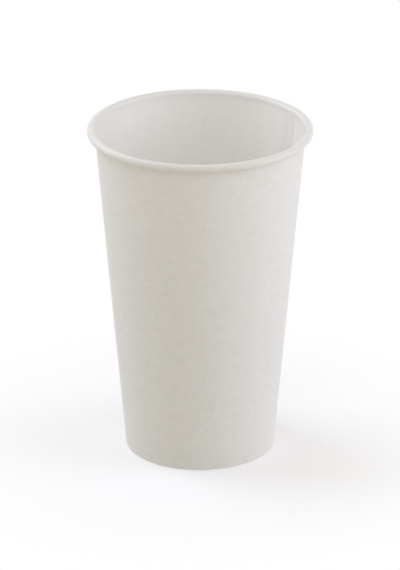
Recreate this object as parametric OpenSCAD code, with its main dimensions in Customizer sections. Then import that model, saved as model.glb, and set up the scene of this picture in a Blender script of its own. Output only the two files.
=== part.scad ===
// Paper coffee cup with a 90 mm rim, of the 16 oz size, single wall, with no lid or sleeve.
// It is made of two pieces of board. A fan-shaped blank is wrapped into a cone and sealed along a
// lapped side seam; its top edge is rolled outward into the rim, and its lower edge is folded up
// inside the foot. A pressed bottom, a flat panel with a turned-down skirt, is sealed in that fold.
// The origin is the centre of the foot, on the surface that the cup stands on. +Z is up.

/* [Cup] */
// Height over the rolled rim
cup_h = 136; // [100:0.5:165]
// Diameter over the rolled rim
rim_d = 90; // [84:0.5:98]
// Diameter of the foot, where the wall's line meets the table
foot_d = 60; // [54:0.5:68]

/* [Board] */
// Thickness of the side wall's board
wall_t = 0.33; // [0.28:0.01:0.4]
// Thickness of the bottom's board
bottom_t = 0.28; // [0.22:0.01:0.36]
// Clearance at each face where the bottom is sealed in
seal_gap = 0.02; // [0.01:0.01:0.05]

/* [Rim] */
// Diameter of the rolled bead
bead_d = 3.3; // [2.8:0.1:4.2]
// Gap between the curl's tucked-in tail and the wall
curl_gap = 0.1; // [0.08:0.01:0.15]
// How far the tail turns on past the bead's lowest point, in degrees
tail_turn = 150; // [100:5:160]

/* [Foot] */
// Height of the bottom panel's upper face over the table
panel_z = 7.2; // [6.5:0.1:10]
// Length of the hem, the wall's lower edge folded up inside the foot
hem_h = 5.4; // [4:0.1:5.8]
// Inside radius of the bend between the bottom's panel and its skirt
bend_r = 0.4; // [0.3:0.05:0.6]
// Height of the skirt's lower edge over the fold that holds it
skirt_lift = 0.3; // [0.1:0.05:0.6]
// How deep the fold is pressed flat where the cup stands
foot_press = 0.08; // [0.05:0.01:0.12]

/* [Side seam] */
// Width of the lap, at half the cup's height
lap_w = 7; // [5:0.5:9]
// Height above the foot's fold where the lap's outer ply begins, as the fold is pressed flat
lap_start = 0.3; // [0.2:0.05:0.6]
// Bearing of the lap's inner cut edge, in degrees from +X towards +Y
seam_bearing = 25; // [0:5:355]
// Depth of the valley beside the inner cut edge
valley_d = 0.15; // [0.1:0.01:0.2]
// Angle that the valley takes up, in degrees
valley_turn = 6; // [5:0.5:8]
// How much the doubled board raises the bead over the lap
bead_rise = 0.12; // [0.08:0.01:0.2]
// Width of the fine line that the inner cut edge leaves over the bead
bead_line_w = 0.25; // [0.2:0.05:0.4]

/* [Hidden] */
$fn = 180;

board_colour = "#e6e4df";
far = 300;       // longer than any part of the cup
bite = 0.03;     // how far a ramp's plane sinks into the wall, so that it crosses the cone cleanly
spare_turn = 1;  // how far a ramp's sweep runs on past its plane, in degrees
lift_from = -60; // angles round the bead, up from outward, between which the lap lifts it
lift_to = 150;

foot_r = foot_d / 2;
rim_r = rim_d / 2;
bead_r = bead_d / 2;

// The wall's own frame has its origin on the wall's line at the table, y up along the wall's
// outer face and x outward. The wall's inner face runs on into the bead without a break, so the
// lean is that of the line from the foot which is tangent to the bead.
bead_reach = norm([rim_r - bead_r - foot_r, cup_h - bead_r]);
bead_x = bead_r - wall_t;
bead_y = sqrt(bead_reach * bead_reach - bead_x * bead_x);
lean = atan2(rim_r - bead_r - foot_r, cup_h - bead_r) - asin(bead_x / bead_reach);

// The curl's tail is rolled tighter than the bead, so that it tucks in beside the wall
tail_r = bead_x - curl_gap;
tail_y = bead_y - (bead_r - tail_r);
tail_at_lap = bead_x - wall_t - curl_gap;
lap_top = tail_y - sqrt(tail_r * tail_r - tail_at_lap * tail_at_lap);

// The fold at the foot is a half ring round the pocket that takes the bottom's skirt
pocket = bottom_t + 2 * seal_gap;
fold_r = wall_t + pocket / 2;
fold_y = (fold_r * (1 - sin(lean)) - foot_press) / cos(lean);
hem_x = -2 * fold_r;

// The bottom's skirt lies in the pocket, and its bend is tangent to the panel and the skirt
skirt_x = -wall_t - seal_gap;
bend_outer = bend_r + bottom_t;
bend_x = skirt_x - bend_outer;
bend_y = (panel_z - bend_outer + bend_x * sin(lean)) / cos(lean);
panel_r = foot_r + bend_x * cos(lean) + bend_y * sin(lean);
skirt_len = bend_y - fold_y - skirt_lift;

// The seam's angles are set at half the cup's height
mid_r = foot_r + (cup_h / 2) * tan(lean);
mid_inner_r = mid_r - wall_t / cos(lean);
lap_turn = lap_w / mid_r * 180 / PI;
ramp_turn = acos((mid_r - bite) / (mid_r + wall_t)) + spare_turn;
valley_bite = mid_inner_r - (mid_inner_r + valley_d) * cos(valley_turn);
bead_line_turn = bead_line_w / rim_r * 180 / PI;

// Places a flat profile in the wall's own frame
module on_wall() {
    translate([foot_r, 0]) rotate(-lean) children();
}

// A strip of board between two faces and two ends, in the wall's own frame
module strip(x0, x1, y0, y1) {
    polygon([[x0, y0], [x1, y0], [x1, y1], [x0, y1]]);
}

// A ring of board, cut to the part of it from one angle to another
module arc(outer, thick, from, to) {
    mid = (from + to) / 2;
    reach = 3 * outer;
    intersection() {
        difference() {
            circle(outer);
            circle(outer - thick);
        }
        polygon([
            [0, 0],
            reach * [cos(from), sin(from)],
            reach * [cos((from + mid) / 2), sin((from + mid) / 2)],
            reach * [cos(mid), sin(mid)],
            reach * [cos((to + mid) / 2), sin((to + mid) / 2)],
            reach * [cos(to), sin(to)]
        ]);
    }
}

// The bead's curl: up the inside, over the top, down the outside and back in under itself
module curl() {
    translate([bead_x, bead_y]) arc(bead_r, wall_t, -90, 180);
    translate([bead_x, tail_y]) arc(tail_r, wall_t, -90 - tail_turn, -90);
}

// The wall's section from the hem's edge round the fold, up the cup and into the curl
module wall_section() {
    intersection() {
        on_wall() {
            strip(-wall_t, 0, fold_y, bead_y);
            curl();
            translate([-fold_r, fold_y]) arc(fold_r, wall_t, -180, 0);
            strip(hem_x, hem_x + wall_t, fold_y, hem_h);
        }
        square([far, far]);
    }
}

// Everything outside a plane that leans with the wall, sunk by a depth at one bearing
module outside_plane(bearing, depth) {
    rotate([0, 0, bearing]) translate([foot_r, 0, 0]) rotate([0, lean, 0])
        translate([-depth, -far / 2, -far / 2]) cube(far);
}

// The outer ply of the lap, which ramps down onto the wall beyond the inner cut edge
module lap_ply() {
    difference() {
        rotate([0, 0, seam_bearing - ramp_turn])
            rotate_extrude(angle = ramp_turn + lap_turn)
                on_wall() strip(-wall_t / 2, wall_t, fold_y + lap_start, lap_top);
        outside_plane(seam_bearing - ramp_turn, bite);
    }
}

// The outer ply where it is folded up in the hem, and where it lifts the bead
module lap_ends() {
    rotate([0, 0, seam_bearing]) rotate_extrude(angle = lap_turn) on_wall() {
        strip(hem_x - wall_t, hem_x + wall_t / 2, fold_y + lap_start, hem_h);
        translate([bead_x, bead_y]) arc(bead_r + bead_rise, wall_t, lift_from, lift_to);
    }
}

// The shallow valley where the outer ply comes down beside the inner ply's cut edge
module valley() {
    difference() {
        rotate([0, 0, seam_bearing - valley_turn])
            rotate_extrude(angle = valley_turn)
                on_wall() strip(-2 * wall_t, -wall_t / 3, panel_z, lap_top);
        outside_plane(seam_bearing - valley_turn, wall_t + valley_bite);
    }
}

// The bend from the bottom's panel down into its skirt, round the bend's centre
module bottom_bend() {
    reach = 2 * bend_outer;
    intersection() {
        difference() {
            circle(bend_outer);
            circle(bend_r);
        }
        translate([0, -reach]) square([reach, 2 * reach]);
        rotate(-lean) translate([-reach, 0]) square([2 * reach, reach]);
    }
}

// The line that the inner cut edge leaves over the top of the bead
module bead_line() {
    rotate([0, 0, seam_bearing - bead_line_turn])
        rotate_extrude(angle = bead_line_turn)
            on_wall() translate([bead_x, bead_y])
                arc(bead_r + bead_rise, bead_rise + wall_t / 3, lift_from, 180);
}

module side_wall() {
    color(board_colour) difference() {
        union() {
            rotate_extrude() wall_section();
            lap_ply();
            lap_ends();
        }
        valley();
        bead_line();
    }
}

module bottom() {
    color(board_colour) rotate_extrude() {
        translate([0, panel_z - bottom_t]) square([panel_r, bottom_t]);
        translate([panel_r, panel_z - bend_outer]) {
            bottom_bend();
            rotate(-lean) translate([bend_r, -skirt_len]) square([bottom_t, skirt_len]);
        }
    }
}

side_wall();
bottom();
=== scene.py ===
"""A paper coffee cup, dressed over its CAD frame.

The cup is two pieces of bleached board. The side wall is one fan-shaped blank, wrapped and sealed
along a lapped seam, rolled outward at the top and folded up inside at the foot. The bottom is a
round blank with a turned-down skirt, sealed in that fold. Each becomes one fine mesh that keeps
its solid's form and adds what the press and the sealing tools leave in the board.
"""

import math
from types import SimpleNamespace

import bmesh
import bpy
import numpy as np
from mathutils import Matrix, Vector


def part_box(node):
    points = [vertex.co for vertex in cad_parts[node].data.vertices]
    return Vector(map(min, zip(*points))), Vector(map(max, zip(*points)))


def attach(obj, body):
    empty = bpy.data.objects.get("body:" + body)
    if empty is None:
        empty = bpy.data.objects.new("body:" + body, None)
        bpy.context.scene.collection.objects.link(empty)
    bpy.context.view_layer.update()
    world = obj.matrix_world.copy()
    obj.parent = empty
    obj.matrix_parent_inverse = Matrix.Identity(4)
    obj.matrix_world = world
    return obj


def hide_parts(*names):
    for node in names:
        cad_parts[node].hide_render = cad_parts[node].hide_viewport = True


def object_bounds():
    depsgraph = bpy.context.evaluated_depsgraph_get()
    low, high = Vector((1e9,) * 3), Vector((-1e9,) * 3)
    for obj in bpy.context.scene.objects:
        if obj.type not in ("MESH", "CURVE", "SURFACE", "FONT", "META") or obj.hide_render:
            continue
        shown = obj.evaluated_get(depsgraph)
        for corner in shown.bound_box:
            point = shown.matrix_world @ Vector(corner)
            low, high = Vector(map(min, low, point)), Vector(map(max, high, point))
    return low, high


bl_info = {
    "name": "Paper coffee cup",
    "version": (1, 0, 0),
    "blender": (4, 5, 0),
    "location": "3D View > Sidebar > Paper cup",
    "description": "Builds a rolled-rim paper cup in detail over its CAD frame, and its studio",
    "category": "Add Mesh",
}

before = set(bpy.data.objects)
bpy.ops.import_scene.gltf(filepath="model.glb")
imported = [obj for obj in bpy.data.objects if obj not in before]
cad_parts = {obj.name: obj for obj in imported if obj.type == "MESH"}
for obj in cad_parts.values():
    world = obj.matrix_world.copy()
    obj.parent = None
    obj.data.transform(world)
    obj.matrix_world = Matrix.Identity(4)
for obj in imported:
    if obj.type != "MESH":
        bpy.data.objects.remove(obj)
CAD_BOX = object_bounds()

MM = 0.001
WALL_LOW, WALL_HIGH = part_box("side_wall")
PANEL_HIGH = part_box("bottom")[1]
# How much the doubled board raises the bead over the lap
BEAD_RISE = 0.12 * MM

# The camera's picture in pixels, and its sensor's longer side in millimetres
PICTURE_WIDTH = 400
PICTURE_HEIGHT = 570
SENSOR = 36.0


class CupSizes(bpy.types.PropertyGroup):
    """The cup's driving sizes, the same as in the part's source."""

    cup_height: bpy.props.FloatProperty(
        name="Height",
        description="Height over the rolled rim, away from the seam",
        default=round(WALL_HIGH.z - BEAD_RISE, 4),
        unit="LENGTH",
    )
    rim_diameter: bpy.props.FloatProperty(
        name="Rim diameter",
        description="Diameter over the rolled rim",
        default=round(WALL_HIGH.x - WALL_LOW.x, 4),
        unit="LENGTH",
    )
    foot_diameter: bpy.props.FloatProperty(
        name="Foot diameter",
        description="Diameter where the wall's line meets the table",
        default=60 * MM,
        unit="LENGTH",
    )
    wall_board: bpy.props.FloatProperty(
        name="Wall board",
        description="Thickness of the side wall's board",
        default=0.33 * MM,
        precision=5,
        unit="LENGTH",
    )
    bottom_board: bpy.props.FloatProperty(
        name="Bottom board",
        description="Thickness of the bottom's board",
        default=0.28 * MM,
        precision=5,
        unit="LENGTH",
    )
    seal_gap: bpy.props.FloatProperty(
        name="Seal gap",
        description="Clearance at each face where the bottom is sealed in",
        default=0.02 * MM,
        precision=5,
        unit="LENGTH",
    )
    bead_diameter: bpy.props.FloatProperty(
        name="Bead diameter",
        description="Diameter of the rolled bead",
        default=3.3 * MM,
        unit="LENGTH",
    )
    curl_gap: bpy.props.FloatProperty(
        name="Curl gap",
        description="Gap between the curl's tucked-in tail and the wall",
        default=0.1 * MM,
        precision=5,
        unit="LENGTH",
    )
    tail_turn: bpy.props.FloatProperty(
        name="Tail turn",
        description="How far the tail turns on past the bead's lowest point",
        default=math.radians(150),
        subtype="ANGLE",
    )
    panel_height: bpy.props.FloatProperty(
        name="Panel height",
        description="Height of the bottom panel's upper face over the table",
        default=round(PANEL_HIGH.z, 4),
        unit="LENGTH",
    )
    hem_length: bpy.props.FloatProperty(
        name="Hem length",
        description="Length of the wall's lower edge that is folded up inside the foot",
        default=5.4 * MM,
        unit="LENGTH",
    )
    bend_radius: bpy.props.FloatProperty(
        name="Bend radius",
        description="Inside radius of the bend between the bottom's panel and its skirt",
        default=0.4 * MM,
        precision=5,
        unit="LENGTH",
    )
    skirt_lift: bpy.props.FloatProperty(
        name="Skirt lift",
        description="Height of the skirt's lower edge over the fold that holds it",
        default=0.3 * MM,
        precision=5,
        unit="LENGTH",
    )
    foot_press: bpy.props.FloatProperty(
        name="Foot press",
        description="How deep the fold is pressed flat where the cup stands",
        default=0.08 * MM,
        precision=5,
        unit="LENGTH",
    )
    lap_width: bpy.props.FloatProperty(
        name="Lap width",
        description="Width of the side seam's lap at half the cup's height",
        default=7 * MM,
        unit="LENGTH",
    )
    seam_bearing: bpy.props.FloatProperty(
        name="Seam bearing",
        description="Bearing of the lap's inner cut edge, from +X towards +Y",
        default=math.radians(25),
        subtype="ANGLE",
    )
    knurl_pitch: bpy.props.FloatProperty(
        name="Knurl pitch",
        description="Spacing of the marks that the sealing wheel presses into the hem",
        default=2.0 * MM,
        precision=5,
        unit="LENGTH",
    )
    knurl_depth: bpy.props.FloatProperty(
        name="Knurl depth",
        description="Depth of the sealing wheel's marks",
        default=0.16 * MM,
        precision=5,
        unit="LENGTH",
    )


class CupColours(bpy.types.PropertyGroup):
    """The board's colours, as sRGB hex values."""

    board: bpy.props.StringProperty(
        name="Board",
        description="Uncoated bleached board at its palest",
        default="#ECEBE7",
    )
    board_cloud: bpy.props.StringProperty(
        name="Board clouds",
        description="Uncoated board where its fibres lie denser",
        default="#E9E8E4",
    )
    # The lining's colours are paler than the bare board's: partly the real lined face, partly
    # painted light that lifts the cup's shaded inside
    lining: bpy.props.StringProperty(
        name="Lining",
        description="Board seen through its clear plastic lining",
        default="#F7F6F2",
    )
    lining_cloud: bpy.props.StringProperty(
        name="Lining clouds",
        description="Lined board where its fibres lie denser",
        default="#F5F4EF",
    )
    # Painted shade: the bead's darker, warmer tone stands in for less light on its lit top
    bead_painted_shade: bpy.props.StringProperty(
        name="Rolled rim",
        description="Lined board in the rolled bead, where heat and oil have left it a shade darker",
        default="#EAE7E0",
    )
    cut_edge: bpy.props.StringProperty(
        name="Cut edge",
        description="The board's raw edge, with its fibres open",
        default="#E2DED4",
    )
    table: bpy.props.StringProperty(
        name="Table",
        description="The table's pale matt top",
        default="#F7F7F6",
    )


class StudioSettings(bpy.types.PropertyGroup):
    """The camera's place and the strength of the lights."""

    camera_distance: bpy.props.FloatProperty(
        name="Camera distance",
        description="From the cup's middle to the camera",
        default=1.76,
        unit="LENGTH",
    )
    camera_elevation: bpy.props.FloatProperty(
        name="Camera elevation",
        description="Angle at which the camera looks down on the cup's middle",
        default=math.radians(22.3),
        subtype="ANGLE",
    )
    cup_share: bpy.props.FloatProperty(
        name="Cup's share of the picture",
        description="The cup's rim diameter as a share of the picture's width",
        default=0.56,
        subtype="FACTOR",
    )
    world_strength: bpy.props.FloatProperty(
        name="Room light",
        description="Strength of the white room's even light",
        default=0.59,
    )
    room_tint: bpy.props.StringProperty(
        name="Room's tint",
        description="Colour of the room's even light, as an sRGB hex value",
        default="#FFFAEF",
    )
    lamp_tint: bpy.props.StringProperty(
        name="Softboxes' tint",
        description="Colour of the softboxes, as an sRGB hex value",
        default="#E2E6FF",
    )
    right_power: bpy.props.FloatProperty(
        name="Right softbox",
        description="Power of the larger softbox, to the right of the cup",
        default=4.6,
        unit="POWER",
    )
    left_power: bpy.props.FloatProperty(
        name="Left softbox",
        description="Power of the softbox to the left of the cup",
        default=5.0,
        unit="POWER",
    )
    fill_power: bpy.props.FloatProperty(
        name="Fill softbox",
        description="Power of the weak softbox above the camera",
        default=1.8,
        unit="POWER",
    )


def linear(hex_colour):
    """Turns an sRGB hex value into a linear colour with full alpha."""
    parts = [int(hex_colour[i : i + 2], 16) / 255 for i in (1, 3, 5)]
    return [c / 12.92 if c <= 0.04045 else ((c + 0.055) / 1.055) ** 2.4 for c in parts] + [1.0]


def node(tree, kind, inputs=None, **settings):
    """Adds a node, with its settings and with a value or a link for each named input."""
    made = tree.nodes.new(kind)
    for name, value in settings.items():
        setattr(made, name, value)
    for name, value in (inputs or {}).items():
        if isinstance(value, bpy.types.NodeSocket):
            tree.links.new(value, made.inputs[name])
        else:
            made.inputs[name].default_value = value
    return made


def smooth(low, high, value):
    """0 up to low and 1 from high on, with an even S-shaped rise between them."""
    share = np.clip((value - low) / (high - low), 0, 1)
    return share * share * (3 - 2 * share)


def between(fades, value):
    """1 within a span and 0 outside it, with a smooth rise into it and a smooth fall out of it."""
    rise, fall = fades
    return smooth(*rise, value) * (1 - smooth(*fall, value))


def waves(table, turns):
    """The sum of some waves round the cup, each with its number, size and phase."""
    return sum(size * np.cos(number * turns + phase) for number, size, phase in table)


# The sizes that are angles, and so aren't turned into millimetres
ANGLES = ("tail_turn", "seam_bearing")

# The outer ply comes down onto the wall over this share of a straight ramp's turn, and the valley
# under it takes up this share of the ply's
RAMP_SHARE = 0.9
VALLEY_SHARE = 0.9


def cup_form(sizes):
    """The cup's working dimensions in millimetres, from its driving sizes."""
    f = SimpleNamespace()
    for name in sizes.__annotations__:
        value = getattr(sizes, name)
        setattr(f, name, value if name in ANGLES else value / MM)
    f.foot_r = f.foot_diameter / 2
    f.rim_r = f.rim_diameter / 2
    f.bead_r = f.bead_diameter / 2
    # The wall's inner face runs on into the bead, so the wall leans along the bead's tangent
    reach = math.hypot(f.rim_r - f.bead_r - f.foot_r, f.cup_height - f.bead_r)
    f.bead_x = f.bead_r - f.wall_board
    f.bead_y = math.sqrt(reach**2 - f.bead_x**2)
    f.lean = math.atan2(f.rim_r - f.bead_r - f.foot_r, f.cup_height - f.bead_r)
    f.lean -= math.asin(f.bead_x / reach)
    # The curl's tail is rolled tighter, to tuck in beside the wall
    f.tail_r = f.bead_x - f.curl_gap
    f.tail_y = f.bead_y - (f.bead_r - f.tail_r)
    # The fold at the foot goes half round the pocket that takes the bottom's skirt
    f.fold_r = f.wall_board + (f.bottom_board + 2 * f.seal_gap) / 2
    f.fold_y = (f.fold_r * (1 - math.sin(f.lean)) - f.foot_press) / math.cos(f.lean)
    f.hem_x = -2 * f.fold_r
    # The bottom's bend is tangent to its panel and to its skirt
    f.skirt_x = -f.wall_board - f.seal_gap
    f.bend_outer = f.bend_radius + f.bottom_board
    f.bend_x = f.skirt_x - f.bend_outer
    f.bend_y = f.panel_height - f.bend_outer + f.bend_x * math.sin(f.lean)
    f.bend_y /= math.cos(f.lean)
    f.panel_r = f.foot_r + f.bend_x * math.cos(f.lean) + f.bend_y * math.sin(f.lean)
    f.skirt_end = f.fold_y + f.skirt_lift
    # The seam's angles are set at half the cup's height
    mid_r = f.foot_r + f.cup_height / 2 * math.tan(f.lean)
    f.lap_turn = f.lap_width / mid_r
    f.ramp_turn = math.acos(mid_r / (mid_r + f.wall_board)) * RAMP_SHARE
    f.lap_end = f.seam_bearing + f.lap_turn
    f.knurls = round(2 * math.pi * (f.foot_r + f.hem_x) / f.knurl_pitch)
    # On the flat blank, distances along the sheet are counted from the fan's apex. The sheet's
    # length is 0 at the fold's end, where the wall begins
    f.apex = f.foot_r / math.sin(f.lean)
    f.bead_at = f.apex + f.bead_y - f.fold_y
    return f


# How many of the mesh's columns each pressed mark or pleat has
COLUMNS_A_MARK = 6
# How many stand close together where the outer ply ramps down, and over the lap
RAMP_COLUMNS = 24
LAP_COLUMNS = 30
# Where the ramp's close columns begin, as a multiple of its turn
RAMP_MARGIN = 1.1
# Half the turn between the two columns that make a cut edge a crisp step
EDGE_TURN = math.radians(0.012)


def round_the_cup(form, marks, seam_steps):
    """The bearings of a piece's columns, once round, beginning just past the lap's raw edge.

    Each pressed mark or pleat has the same few columns. Where seam_steps is true, extra columns
    stand on both sides of the lap's two cut edges, so that each edge is a crisp step.
    """
    start = form.lap_end + EDGE_TURN
    columns = marks * COLUMNS_A_MARK
    turns = start + np.arange(columns) * 2 * math.pi / columns
    if not seam_steps:
        return turns
    cut = form.seam_bearing + 2 * math.pi
    near = np.concatenate(
        [
            np.linspace(cut - form.ramp_turn * RAMP_MARGIN, cut - EDGE_TURN, RAMP_COLUMNS),
            np.linspace(cut + EDGE_TURN, cut + form.lap_turn - EDGE_TURN, LAP_COLUMNS),
        ]
    )
    keep = turns[turns < near[0] - EDGE_TURN]
    return np.concatenate([keep, near])


def sheet_mesh(name, turns, rings, closed_ends=True):
    """A mesh of a sheet swept once round the cup.

    rings is a list of rings from one face of the sheet over its end to the other face, each a
    tuple of radius, height, blank coordinates and material index, with arrays over the turns.
    closed_ends joins the last ring to the first.
    """
    count = len(turns)
    points = np.empty((len(rings), count, 3))
    blank = np.empty((len(rings), count, 3))
    for row, (radius, height, flat, _) in enumerate(rings):
        points[row, :, 0] = radius * np.cos(turns)
        points[row, :, 1] = radius * np.sin(turns)
        points[row, :, 2] = height
        blank[row] = flat
    rows = len(rings) if closed_ends else len(rings) - 1
    row, col = np.meshgrid(np.arange(rows), np.arange(count), indexing="ij")
    next_row, next_col = (row + 1) % len(rings), (col + 1) % count
    corners = ((row, col), (row, next_col), (next_row, next_col), (next_row, col))
    quads = np.stack([r * count + c for r, c in corners], axis=-1).reshape(-1, 4)
    mesh = bpy.data.meshes.new(name)
    mesh.from_pydata((points.reshape(-1, 3) * MM).tolist(), [], quads.tolist())
    slots = np.repeat([ring[3] for ring in rings[:rows]], count)
    mesh.polygons.foreach_set("material_index", slots.astype(np.int32))
    coordinates = mesh.attributes.new("blank", "FLOAT_VECTOR", "POINT")
    coordinates.data.foreach_set("vector", blank.reshape(-1, 3).ravel())
    return mesh


# Faces that meet at more than this angle have a sharp edge between them
SHARP_ANGLE = math.radians(38)


def finish_piece(name, mesh, materials, cad_node):
    """Makes the mesh a piece of the cup that stands for its CAD node."""
    mesh.validate()
    mesh.update()
    mesh.set_sharp_from_angle(angle=SHARP_ANGLE)
    for material in materials:
        mesh.materials.append(material)
    piece = bpy.data.objects.new(name, mesh)
    bpy.context.scene.collection.objects.link(piece)
    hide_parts(cad_node)
    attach(piece, "root")
    return piece


# The faces of a board, as material indices
UNCOATED, LINED, CUT = 0, 1, 2

# Their materials' names, in that order
BOARD_NAMES = (
    "Bleached_board_uncoated",
    "Bleached_board_polyethylene_lined",
    "Bleached_board_die_cut_edge",
)

# The two faces lie this far apart in the texture, so that their fibres differ
FACES_APART = 50


def blank_place(across, along, face):
    """Coordinates on the flat blank, in millimetres."""
    return np.stack([across, along, np.full_like(across, face * FACES_APART)], -1)


# How many stations each part of the wall's sheet has, on its uncoated and on its lined face. The
# hem and the fold are fine where the uncoated face shows, and the bead where the lined face does
STATIONS = {
    "hem": (12, 4),
    "fold": (14, 6),
    "foot": (12, 12),
    "body": (13, 13),
    "top": (7, 4),
    "bead": (10, 34),
    "tail": (8, 16),
}
# Heights in millimetres over the table, and under the bead, within which the wall's are closer
FOOT_ZONE = 10
TOP_ZONE = 5


def wall_stations(form, face):
    """Points along the side wall's sheet, from the hem's edge to the curl's end.

    Each is (zone, x, y, normal x, normal y, distance along the sheet), on the sheet's middle in
    the wall's own frame. The normal points to the uncoated face. The face that is asked for
    decides where the points are close together.
    """
    f = form
    half = f.wall_board / 2
    fold_mid, bead_mid, tail_mid = f.fold_r - half, f.bead_r - half, f.tail_r - half
    counts = {part: pair[face] for part, pair in STATIONS.items()}
    stations = []
    length = -(f.hem_length - f.fold_y) - math.pi * fold_mid

    for y in np.linspace(f.hem_length, f.fold_y, counts["hem"])[:-1]:
        stations.append(("hem", f.hem_x + half, y, -1, 0, length + f.hem_length - y))
    length += f.hem_length - f.fold_y
    for angle in np.linspace(math.pi, 2 * math.pi, counts["fold"])[:-1]:
        c, s = math.cos(angle), math.sin(angle)
        at = length + (angle - math.pi) * fold_mid
        stations.append(("fold", -f.fold_r + fold_mid * c, f.fold_y + fold_mid * s, c, s, at))
    length += math.pi * fold_mid
    foot = np.linspace(f.fold_y, FOOT_ZONE, counts["foot"])[:-1]
    body = np.linspace(FOOT_ZONE, f.bead_y - TOP_ZONE, counts["body"])[:-1]
    top = np.linspace(f.bead_y - TOP_ZONE, f.bead_y, counts["top"])[:-1]
    for y in np.concatenate([foot, body, top]):
        stations.append(("wall", -half, y, 1, 0, length + y - f.fold_y))
    length += f.bead_y - f.fold_y
    for angle in np.linspace(math.pi, -math.pi / 2, counts["bead"])[:-1]:
        c, s = math.cos(angle), math.sin(angle)
        at = length + (math.pi - angle) * bead_mid
        stations.append(("bead", f.bead_x + bead_mid * c, f.bead_y + bead_mid * s, -c, -s, at))
    length += 1.5 * math.pi * bead_mid
    for angle in np.linspace(0, f.tail_turn, counts["tail"]):
        c, s = math.cos(-math.pi / 2 - angle), math.sin(-math.pi / 2 - angle)
        at = length + angle * tail_mid
        stations.append(("tail", f.bead_x + tail_mid * c, f.tail_y + tail_mid * s, -c, -s, at))
    return stations


# What the seam leaves in the wall, in millimetres: the valley where the outer ply comes down
# beside the inner ply's cut edge, and the fine line that this edge leaves over the bead
VALLEY_DEPTH = 0.15
VALLEY_FADE = 1.0
EDGE_LINE_DEPTH = 0.11
EDGE_LINE_TURN = math.radians(0.22)
# How hollow the ply's ramp and the valley's run down, as powers
RAMP_CURVE = 1.6
VALLEY_CURVE = 1.5
# The share of the bead's rise over the lap that is left in the curl's tail
TAIL_RISE = 0.4
# Distances under the curl, in millimetres, between which the outer ply ends
PLY_END = (1.2, 0.2)

# What the sealing wheel leaves at the foot, in millimetres: its marks as they show through
# outside, and how far the wall is drawn in over the hem's upper edge
WHEEL_PRINT = 0.006
HEM_PRINT = 0.035
# How flat the bottoms of its marks in the hem are, as a power
MARK_CURVE = 0.6
# Heights between which each of these fades in, and out again
WHEEL_INSIDE = ((0.7, 1.2), (4.5, 5.0))
WHEEL_OUTSIDE = ((0.8, 1.8), (4.2, 5.2))
HEM_EDGE = ((4.8, 6.2), (8.5, 13))


def wall_offset(form, face, zone, y, turns):
    """How far the side wall's face lies from its sheet's middle at each turn, in millimetres."""
    f = form
    half = f.wall_board / 2
    seam = (turns - f.seam_bearing + math.pi) % (2 * math.pi) - math.pi
    on_lap = (seam > 0) & (seam < f.lap_turn)
    ramp = np.clip(1 + seam / f.ramp_turn, 0, 1) * (seam <= 0)
    if face == LINED:
        if zone == "wall":
            valley = np.clip(1 + seam / (f.ramp_turn * VALLEY_SHARE), 0, 1) ** VALLEY_CURVE
            over_panel = smooth(f.panel_height, f.panel_height + VALLEY_FADE, y)
            return half - VALLEY_DEPTH * valley * (seam <= 0) * over_panel
        if zone in ("bead", "tail"):
            rise = BEAD_RISE / MM * np.where(on_lap, 1.0, ramp)
            line = EDGE_LINE_DEPTH * np.exp(-((seam / EDGE_LINE_TURN) ** 2))
            return half + rise * (1 if zone == "bead" else TAIL_RISE) - line
        return np.full_like(turns, half)
    ply = f.wall_board * np.where(on_lap, 1.0, ramp**RAMP_CURVE)
    if zone == "fold":
        # The doubled ply is pressed thin where the cup stands on it
        low = max(0.0, (f.fold_y - y) / f.fold_r)
        return half + ply * (1 - low) ** 2
    marks = 0.5 - 0.5 * np.cos(f.knurls * (turns - f.lap_end - EDGE_TURN))
    if zone == "wall":
        curl_low = f.tail_y - f.tail_r
        ply = ply * (1 - smooth(curl_low - PLY_END[0], curl_low - PLY_END[1], y))
        shown = WHEEL_PRINT * marks * between(WHEEL_OUTSIDE, y)
        return half + ply - shown - HEM_PRINT * between(HEM_EDGE, y)
    if zone == "hem":
        # Knurled: the sealing wheel runs round inside the foot and presses upright grooves
        return half + ply - f.knurl_depth * marks**MARK_CURVE * between(WHEEL_INSIDE, y)
    return np.full_like(turns, half)


# The cup's departures from a true cone, each with its waves round the cup and its size in
# millimetres. Their phases are drawn from the seed
ROUND_WAVES = ((2, 0.14), (3, 0.07), (4, 0.035), (7, 0.012))
ROUND_SEED = 16
# The bottom holds the cup round up to this share of its height
HELD_ROUND = 0.1
# How far the waves drift round the cup as they rise, in radians, and over what height
WAVE_DRIFT = 0.6
DRIFT_HEIGHT = 40
# The rim's own unevenness in height, as number, size and phase
RIM_WAVES = ((2, 0.03, 0.7), (5, 0.015, 2))


def out_of_round(turns, height, cup_height):
    """Small slow departures from a true cone, in millimetres, which grow towards the rim."""
    rng = np.random.default_rng(ROUND_SEED)
    drift = np.zeros_like(turns)
    for number, size in ROUND_WAVES:
        phase, twist = rng.uniform(0, 2 * math.pi, 2)
        turned = phase + WAVE_DRIFT * np.sin(twist + height / DRIFT_HEIGHT)
        drift += size * np.cos(number * turns + turned)
    return drift * smooth(HELD_ROUND, 1.0, height / cup_height)


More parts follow.
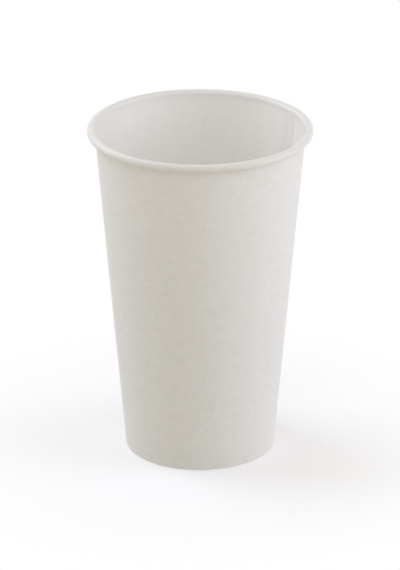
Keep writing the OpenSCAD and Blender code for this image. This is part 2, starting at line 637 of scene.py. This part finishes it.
def side_wall_rings(form, turns):
    """The side wall's rings, up its uncoated face and back down its lined face."""
    f = form
    cos_lean, sin_lean = math.cos(f.lean), math.sin(f.lean)
    # The blank's middle, opposite the lap, lies along its grain
    fan = (turns - f.lap_end - math.pi) * sin_lean
    rings = []
    for face in (UNCOATED, LINED):
        stations = wall_stations(f, face)
        if face == LINED:
            stations = stations[::-1]
        side = 1 if face == UNCOATED else -1
        for number, (zone, x, y, nx, ny, length) in enumerate(stations):
            offset = side * wall_offset(f, face, zone, y, turns)
            px, py = x + nx * offset, y + ny * offset
            radius = f.foot_r + px * cos_lean + py * sin_lean
            height = -px * sin_lean + py * cos_lean
            radius = radius + out_of_round(turns, np.maximum(height, 0), f.cup_height)
            if zone in ("bead", "tail"):
                height = height + waves(RIM_WAVES, turns)
            height = np.maximum(height, 0)
            out = f.apex + length
            flat = blank_place(out * np.sin(fan), out * np.cos(fan), face)
            last = number == len(stations) - 1
            rings.append((radius, height, flat, CUT if last else face))
    return rings


# Drawing the skirt down gathers the board's edge into fine pleats: how many, how high, how far
# they run in over the panel, and how round their crests are, as a power
PLEATS = 72
PLEAT_HEIGHT = 0.022
PLEAT_REACH = 4
PLEAT_CURVE = 0.7
# The panel is dished a little, and isn't quite even: number, size and phase of its waves
DISH_DEPTH = 0.16
PANEL_WAVES = ((2, 0.04, 1.1), (3, 0.02, 0.4))
# Radii of the two rings at the panel's middle, and how many stations each part has
MIDDLE_RINGS = (0.4, 2)
PANEL_STATIONS = 22
BEND_STATIONS = 9
SKIRT_STATIONS = 7


def bottom_stations(form):
    """Points along the bottom's sheet, from its middle to the skirt's edge.

    Each is (zone, radius, height, normal outward, normal up, distance along the sheet), and the
    normal points to the uncoated face.
    """
    f = form
    cos_lean, sin_lean = math.cos(f.lean), math.sin(f.lean)
    half = f.bottom_board / 2
    bend_mid = f.bend_radius + half
    stations = []
    first, second = MIDDLE_RINGS
    for radius in [first, *np.linspace(second, f.panel_r, PANEL_STATIONS)[:-1]]:
        stations.append(("panel", radius, f.panel_height - half, 0, -1, radius))
    along = f.panel_r
    bend_turn = math.pi / 2 + f.lean
    for angle in np.linspace(0, bend_turn, BEND_STATIONS)[:-1]:
        c, s = math.cos(math.pi / 2 - angle), math.sin(math.pi / 2 - angle)
        radius = f.panel_r + bend_mid * c
        height = f.panel_height - f.bend_outer + bend_mid * s
        stations.append(("bend", radius, height, -c, -s, along + angle * bend_mid))
    along += bend_turn * bend_mid
    for y in np.linspace(f.bend_y, f.skirt_end, SKIRT_STATIONS):
        x = f.skirt_x - half
        radius = f.foot_r + x * cos_lean + y * sin_lean
        height = -x * sin_lean + y * cos_lean
        stations.append(("skirt", radius, height, -cos_lean, sin_lean, along + f.bend_y - y))
    return stations


def bottom_rings(form, turns):
    """The bottom's rings, from its underside's middle round the skirt's edge to its upper side."""
    f = form
    half = f.bottom_board / 2
    ribs = np.abs(np.sin(PLEATS / 2 * (turns - turns[0]))) ** PLEAT_CURVE
    stations = bottom_stations(f)
    rings = []
    for face in (UNCOATED, LINED):
        run = stations if face == UNCOATED else stations[::-1]
        side = 1 if face == UNCOATED else -1
        for number, (zone, radius, height, nx, ny, length) in enumerate(run):
            gather, dish = float(zone == "bend"), 0.0
            if zone == "panel":
                gather = smooth(f.panel_r - PLEAT_REACH, f.panel_r, radius)
                share = radius / f.panel_r
                dish = -DISH_DEPTH * (1 - share**2)
                dish = dish + 4 * share * (1 - share) * waves(PANEL_WAVES, turns)
            out_r = np.full_like(turns, radius + nx * half * side)
            out_z = height + ny * half * side + dish - PLEAT_HEIGHT * gather * ribs
            flat = blank_place(length * np.cos(turns), length * np.sin(turns), face)
            last = face == UNCOATED and number == len(run) - 1
            rings.append((out_r, out_z, flat, CUT if last else face))
    return rings


def close_middle(mesh, columns, rings):
    """Fills the small holes that the first and last rings leave at the panel's middle."""
    work = bmesh.new()
    work.from_mesh(mesh)
    work.verts.ensure_lookup_table()
    for first, face in ((0, UNCOATED), ((rings - 1) * columns, LINED)):
        ring = [work.verts[first + i] for i in range(columns)]
        cap = work.faces.new(ring if face == LINED else ring[::-1])
        cap.material_index = face
    bmesh.ops.recalc_face_normals(work, faces=work.faces)
    work.to_mesh(mesh)
    work.free()


def blend(tree, share, low, high, **settings):
    """A colour between two, by a share. The colours are a Mix node's sockets 6, 7 and 2."""
    inputs = {0: share, 6: low, 7: high}
    return node(tree, "ShaderNodeMix", inputs, data_type="RGBA", **settings).outputs[2]


def maths(tree, operation, first, second):
    """The result of one operation on two values or sockets."""
    return node(tree, "ShaderNodeMath", {0: first, 1: second}, operation=operation).outputs[0]


def spread(tree, noise, reach, low=0.0, high=1.0):
    """Spreads what a noise has within reach of its middle value, 0.5, over a range."""
    inputs = {"Value": noise, "From Min": 0.5 - reach, "From Max": 0.5 + reach}
    inputs.update({"To Min": low, "To Max": high})
    return node(tree, "ShaderNodeMapRange", inputs).outputs[0]


def bump(tree, height, strength, distance):
    """A normal that follows a height, up to a distance in metres."""
    inputs = {"Height": height, "Strength": strength, "Distance": distance}
    return node(tree, "ShaderNodeBump", inputs).outputs[0]


def new_material(name):
    """An empty node material, and its tree."""
    material = bpy.data.materials.new(name)
    material.use_nodes = True
    material.node_tree.nodes.clear()
    return material, material.node_tree


# How far from its middle value a noise is spread, closely and widely
CLOSE_REACH = 0.15
WIDE_REACH = 0.2


def board_texture(tree, fibre_scale):
    """The blank's own coordinates, and the board's clouds and fibres, as node sockets.

    The coordinates are millimetres on the flat blank, so each scale is in waves per millimetre.
    """
    blank = node(tree, "ShaderNodeAttribute", attribute_name="blank", attribute_type="GEOMETRY")
    where = blank.outputs["Vector"]
    # Formation: fibres flock in the pulp, which leaves clouds about 4 mm across
    clouds = node(
        tree,
        "ShaderNodeTexNoise",
        {"Vector": where, "Scale": 0.26, "Detail": 3.0, "Roughness": 0.55, "Distortion": 0.3},
    )
    # Fibres lie mostly along the blank's height. A real one is 2 mm by 0.03 mm, so they are
    # drawn some ten times as wide to show at all
    scale = (fibre_scale, fibre_scale * 0.22, 1.0)
    along = node(tree, "ShaderNodeMapping", {"Vector": where, "Scale": scale}).outputs[0]
    fibres = node(
        tree,
        "ShaderNodeTexNoise",
        {"Vector": along, "Scale": 1.0, "Detail": 4.0, "Roughness": 0.6, "Distortion": 0.8},
    )
    return where, clouds.outputs["Fac"], fibres.outputs["Fac"]


# Light soaks a little way into the board, and some of it comes out on the far side, so that the
# cup is never quite dark inside. The reach is in metres, with a share of it for each colour
SOAK = {
    "Subsurface Weight": 1.0,
    "Subsurface Radius": (1.0, 0.97, 0.92),
    "Subsurface Scale": 0.36 * MM,
}


def board_shader(tree, inputs):
    """Ends a board's material with its shader, in which light soaks a little way in."""
    shader = node(tree, "ShaderNodeBsdfPrincipled", {**inputs, **SOAK})
    node(tree, "ShaderNodeOutputMaterial", {"Surface": shader.outputs[0]})


def uncoated_board(colours):
    """Bleached paperboard, the calendered but uncoated face.

    Calendering leaves it matt and even, with faint clouds, and a nap of fibres that only grazing
    light picks out.
    """
    material, tree = new_material(BOARD_NAMES[UNCOATED])
    _, clouds, fibres = board_texture(tree, 2.4)
    cloudy = spread(tree, clouds, CLOSE_REACH)
    tone = blend(tree, cloudy, linear(colours.board), linear(colours.board_cloud))
    fleck = spread(tree, fibres, WIDE_REACH, 0.94, 1.03)
    height = maths(tree, "ADD", fibres, maths(tree, "MULTIPLY", clouds, 0.5))
    inputs = {
        "Base Color": blend(tree, 1.0, tone, fleck, blend_type="MULTIPLY"),
        "Roughness": spread(tree, fibres, WIDE_REACH, 0.58, 0.72),
        "Normal": bump(tree, height, 0.9, 0.06 * MM),
        "IOR": 1.5,
    }
    board_shader(tree, inputs)
    return material


# Millimetres along the sheet over which the bead takes on its painted shade
BEAD_SHADE_FADE = 1.5


def lined_board(colours, bead_at):
    """Bleached paperboard under an extruded polyethylene lining about 0.02 mm thick.

    The melt bridges the fibres and takes the chill roll's matt finish, so the face is smoother
    than the bare board and has a soft sheen. The bead is given a painted shade, a shade darker and
    warmer, which tones down its lit top. bead_at is where the bead begins, from the fan's apex.
    """
    material, tree = new_material(BOARD_NAMES[LINED])
    where, clouds, fibres = board_texture(tree, 1.6)
    cloudy = spread(tree, clouds, CLOSE_REACH)
    # The lining's pale tone is partly painted light, lifting the shaded inside of the cup
    tone = blend(tree, cloudy, linear(colours.lining), linear(colours.lining_cloud))
    fleck = spread(tree, fibres, WIDE_REACH, 0.965, 1.015)
    tone = blend(tree, 1.0, tone, fleck, blend_type="MULTIPLY")
    flat = node(tree, "ShaderNodeVectorMath", {0: where, 1: (1, 1, 0)}, operation="MULTIPLY")
    along = node(tree, "ShaderNodeVectorMath", {0: flat.outputs[0]}, operation="LENGTH")
    # Painted shade on the bead, faded in from where the bead begins along the sheet
    rolled = node(
        tree,
        "ShaderNodeMapRange",
        {"Value": along.outputs["Value"], "From Min": bead_at, "From Max": bead_at + BEAD_SHADE_FADE},
        interpolation_type="SMOOTHSTEP",
    )
    # The lining flows over the fibres, so only their broad shapes are felt, about 1 mm across
    broad = {"Vector": where, "Scale": 0.9, "Detail": 2.0, "Roughness": 0.5}
    skin = node(tree, "ShaderNodeTexNoise", broad).outputs["Fac"]
    height = maths(tree, "ADD", skin, maths(tree, "MULTIPLY", fibres, 0.4))
    inputs = {
        # The bead's painted shade is blended over the lining's colour here
        "Base Color": blend(tree, rolled.outputs[0], tone, linear(colours.bead_painted_shade)),
        "Roughness": spread(tree, clouds, WIDE_REACH, 0.36, 0.46),
        "Normal": bump(tree, height, 0.6, 0.05 * MM),
        "IOR": 1.51,
        "Coat Weight": 0.25,
        "Coat Roughness": 0.3,
    }
    board_shader(tree, inputs)
    return material


def cut_board(colours):
    """The die-cut edge of bleached paperboard.

    The knife leaves the fibres' ends open, so the edge is rougher, and a shade darker and warmer
    than the faces.
    """
    material, tree = new_material(BOARD_NAMES[CUT])
    _, _, fibres = board_texture(tree, 5.0)
    ends = spread(tree, fibres, WIDE_REACH)
    inputs = {
        "Base Color": blend(tree, ends, linear(colours.cut_edge), linear(colours.board_cloud)),
        "Normal": bump(tree, fibres, 0.6, 0.05 * MM),
        "Roughness": 0.85,
        "IOR": 1.5,
    }
    board_shader(tree, inputs)
    return material


def board_materials(colours, form):
    """The board's three surfaces, in the order of their material indices, each made once."""
    made = [bpy.data.materials.get(name) for name in BOARD_NAMES]
    return [
        made[UNCOATED] or uncoated_board(colours),
        made[LINED] or lined_board(colours, form.bead_at),
        made[CUT] or cut_board(colours),
    ]


class CUP_OT_side_wall(bpy.types.Operator):
    """Build the side wall: the wrapped cone with its rolled rim, lapped seam and knurled hem"""

    bl_idname = "paper_cup.side_wall"
    bl_label = "Side wall"

    def execute(self, context):
        form = cup_form(context.scene.cup_sizes)
        turns = round_the_cup(form, form.knurls, seam_steps=True)
        mesh = sheet_mesh("side_wall_board", turns, side_wall_rings(form, turns))
        materials = board_materials(context.scene.cup_colours, form)
        finish_piece("side_wall_board", mesh, materials, "side_wall")
        return {"FINISHED"}


class CUP_OT_bottom(bpy.types.Operator):
    """Build the bottom: the dished panel with its pleated bend and its sealed-in skirt"""

    bl_idname = "paper_cup.bottom"
    bl_label = "Bottom"

    def execute(self, context):
        form = cup_form(context.scene.cup_sizes)
        turns = round_the_cup(form, PLEATS, seam_steps=False)
        rings = bottom_rings(form, turns)
        mesh = sheet_mesh("bottom_board", turns, rings, closed_ends=False)
        close_middle(mesh, len(turns), len(rings))
        materials = board_materials(context.scene.cup_colours, form)
        finish_piece("bottom_board", mesh, materials, "bottom")
        return {"FINISHED"}


# The softboxes' places and size, and half the table's width, in metres
SOFTBOX_PLACES = {
    "right": (0.96, -0.12, 0.34),
    "left": (-0.76, 0.36, 0.72),
    "fill": (-0.1, -0.9, 0.9),
}
SOFTBOX_SIZE = (0.8, 0.85)
TABLE_HALF = 1.6
# A faint glow of the table's, which keeps the cup's shadow pale
TABLE_GLOW = 0.12
# Distances from the cup's axis between which the table runs out into white, in metres
RUN_OUT = (0.035, 0.13)
# How far the camera sees, in metres
CLIP_END = 20


def turn_to(holder, place, aim):
    """Puts an object at a place, looking at a point."""
    holder.location = place
    holder.rotation_mode = "QUATERNION"
    holder.rotation_quaternion = (Vector(aim) - Vector(place)).to_track_quat("-Z", "Y")


def softbox(side, aim, tint, power):
    """A rectangular soft light at its place, turned to a point."""
    name = "softbox_" + side
    lamp = bpy.data.lights.new(name, "AREA")
    lamp.shape = "RECTANGLE"
    lamp.size, lamp.size_y = SOFTBOX_SIZE
    lamp.color = tint
    lamp.energy = power
    holder = bpy.data.objects.new(name, lamp)
    bpy.context.scene.collection.objects.link(holder)
    turn_to(holder, SOFTBOX_PLACES[side], aim)


def pale_table(colours):
    """A pale matt table top, which runs out into the white room.

    Only the camera sees it, and only from above, so the cup's underside can be looked at. Every
    other ray goes through to the room, whose even light takes the place of what a pale table
    throws up.
    """
    material, tree = new_material("Pale_table_top")
    rays = node(tree, "ShaderNodeLightPath")
    here = node(tree, "ShaderNodeNewGeometry")
    above = maths(tree, "SUBTRACT", 1.0, here.outputs["Backfacing"])
    seen = maths(tree, "MULTIPLY", rays.outputs["Is Camera Ray"], above)
    top = node(tree, "ShaderNodeBsdfDiffuse", {"Color": linear(colours.table)})
    glow = node(tree, "ShaderNodeEmission", {"Strength": TABLE_GLOW})
    lit = node(tree, "ShaderNodeAddShader", {0: top.outputs[0], 1: glow.outputs[0]})
    away = node(tree, "ShaderNodeVectorMath", {0: here.outputs["Position"]}, operation="LENGTH")
    near, far = RUN_OUT
    run_out = node(
        tree,
        "ShaderNodeMapRange",
        {"Value": away.outputs["Value"], "From Min": near, "From Max": far},
        interpolation_type="SMOOTHSTEP",
    )
    white = node(tree, "ShaderNodeEmission", {"Strength": 1.0})
    clear = node(tree, "ShaderNodeBsdfTransparent")
    mix = {0: run_out.outputs[0], 1: lit.outputs[0], 2: white.outputs[0]}
    table = node(tree, "ShaderNodeMixShader", mix)
    shown = node(tree, "ShaderNodeMixShader", {0: seen, 1: clear.outputs[0], 2: table.outputs[0]})
    node(tree, "ShaderNodeOutputMaterial", {"Surface": shown.outputs[0]})
    return material


def white_room(strength, tint):
    """A world that lights evenly, and is white where the camera or a reflection sees it."""
    world = bpy.data.worlds.new("White_room")
    world.use_nodes = True
    tree = world.node_tree
    tree.nodes.clear()
    rays = node(tree, "ShaderNodeLightPath").outputs
    seen = maths(tree, "MAXIMUM", rays["Is Camera Ray"], rays["Is Glossy Ray"])
    seen = maths(tree, "MAXIMUM", seen, rays["Is Transmission Ray"])
    level = node(tree, "ShaderNodeMapRange", {"Value": seen, "To Min": strength, "To Max": 1.0})
    tone = blend(tree, seen, linear(tint), (1, 1, 1, 1))
    light = node(tree, "ShaderNodeBackground", {"Color": tone, "Strength": level.outputs[0]})
    node(tree, "ShaderNodeOutputWorld", {"Surface": light.outputs[0]})
    return world


class CUP_OT_stage(bpy.types.Operator):
    """Set up the studio: the pale table, the soft lights and the camera"""

    bl_idname = "paper_cup.stage"
    bl_label = "Stage"

    def execute(self, context):
        scene = context.scene
        studio = scene.cup_studio
        half = TABLE_HALF
        corners = [(-half, -half, 0), (half, -half, 0), (half, half, 0), (-half, half, 0)]
        mesh = bpy.data.meshes.new("studio_floor")
        mesh.from_pydata(corners, [], [(0, 1, 2, 3)])
        mesh.materials.append(pale_table(scene.cup_colours))
        floor = bpy.data.objects.new("studio_floor", mesh)
        scene.collection.objects.link(floor)

        scene.world = white_room(studio.world_strength, studio.room_tint)
        middle = (0, 0, (CAD_BOX[0].z + CAD_BOX[1].z) / 2)
        tint = linear(studio.lamp_tint)[:3]
        softbox("right", middle, tint, studio.right_power)
        softbox("left", middle, tint, studio.left_power)
        softbox("fill", middle, tint, studio.fill_power)

        lens = bpy.data.cameras.new("camera")
        lens.sensor_width = SENSOR
        rim = CAD_BOX[1].x - CAD_BOX[0].x
        # Pixels per metre at the cup's middle, times the distance, is the lens in pixels
        pixels = studio.cup_share * PICTURE_WIDTH / rim * studio.camera_distance
        lens.lens = pixels * SENSOR / PICTURE_HEIGHT
        lens.clip_end = CLIP_END
        camera = bpy.data.objects.new("camera", lens)
        scene.collection.objects.link(camera)
        back, up = math.cos(studio.camera_elevation), math.sin(studio.camera_elevation)
        place = (0, -back * studio.camera_distance, middle[2] + up * studio.camera_distance)
        turn_to(camera, place, middle)
        scene.camera = camera
        scene.view_settings.view_transform = "Standard"
        return {"FINISHED"}


class CUP_PT_panel(bpy.types.Panel):
    """The cup's sizes and colours, and the steps that build it"""

    bl_idname = "CUP_PT_panel"
    bl_label = "Paper cup"
    bl_space_type = "VIEW_3D"
    bl_region_type = "UI"
    bl_category = "Paper cup"

    def draw(self, context):
        layout = self.layout
        for group in (context.scene.cup_sizes, context.scene.cup_colours, context.scene.cup_studio):
            box = layout.box()
            for name in group.__annotations__:
                box.prop(group, name)
        for operator in (CUP_OT_side_wall, CUP_OT_bottom, CUP_OT_stage):
            layout.operator(operator.bl_idname)


CLASSES = (
    CupSizes,
    CupColours,
    StudioSettings,
    CUP_OT_side_wall,
    CUP_OT_bottom,
    CUP_OT_stage,
    CUP_PT_panel,
)


def register():
    for each in CLASSES:
        bpy.utils.register_class(each)
    bpy.types.Scene.cup_sizes = bpy.props.PointerProperty(type=CupSizes)
    bpy.types.Scene.cup_colours = bpy.props.PointerProperty(type=CupColours)
    bpy.types.Scene.cup_studio = bpy.props.PointerProperty(type=StudioSettings)


def unregister():
    del bpy.types.Scene.cup_studio
    del bpy.types.Scene.cup_colours
    del bpy.types.Scene.cup_sizes
    for each in reversed(CLASSES):
        bpy.utils.unregister_class(each)


def main():
    """Registers the classes, and builds every piece and the stage."""
    register()
    bpy.ops.paper_cup.side_wall()
    bpy.ops.paper_cup.bottom()
    bpy.ops.paper_cup.stage()


if __name__ == "__main__":
    main()
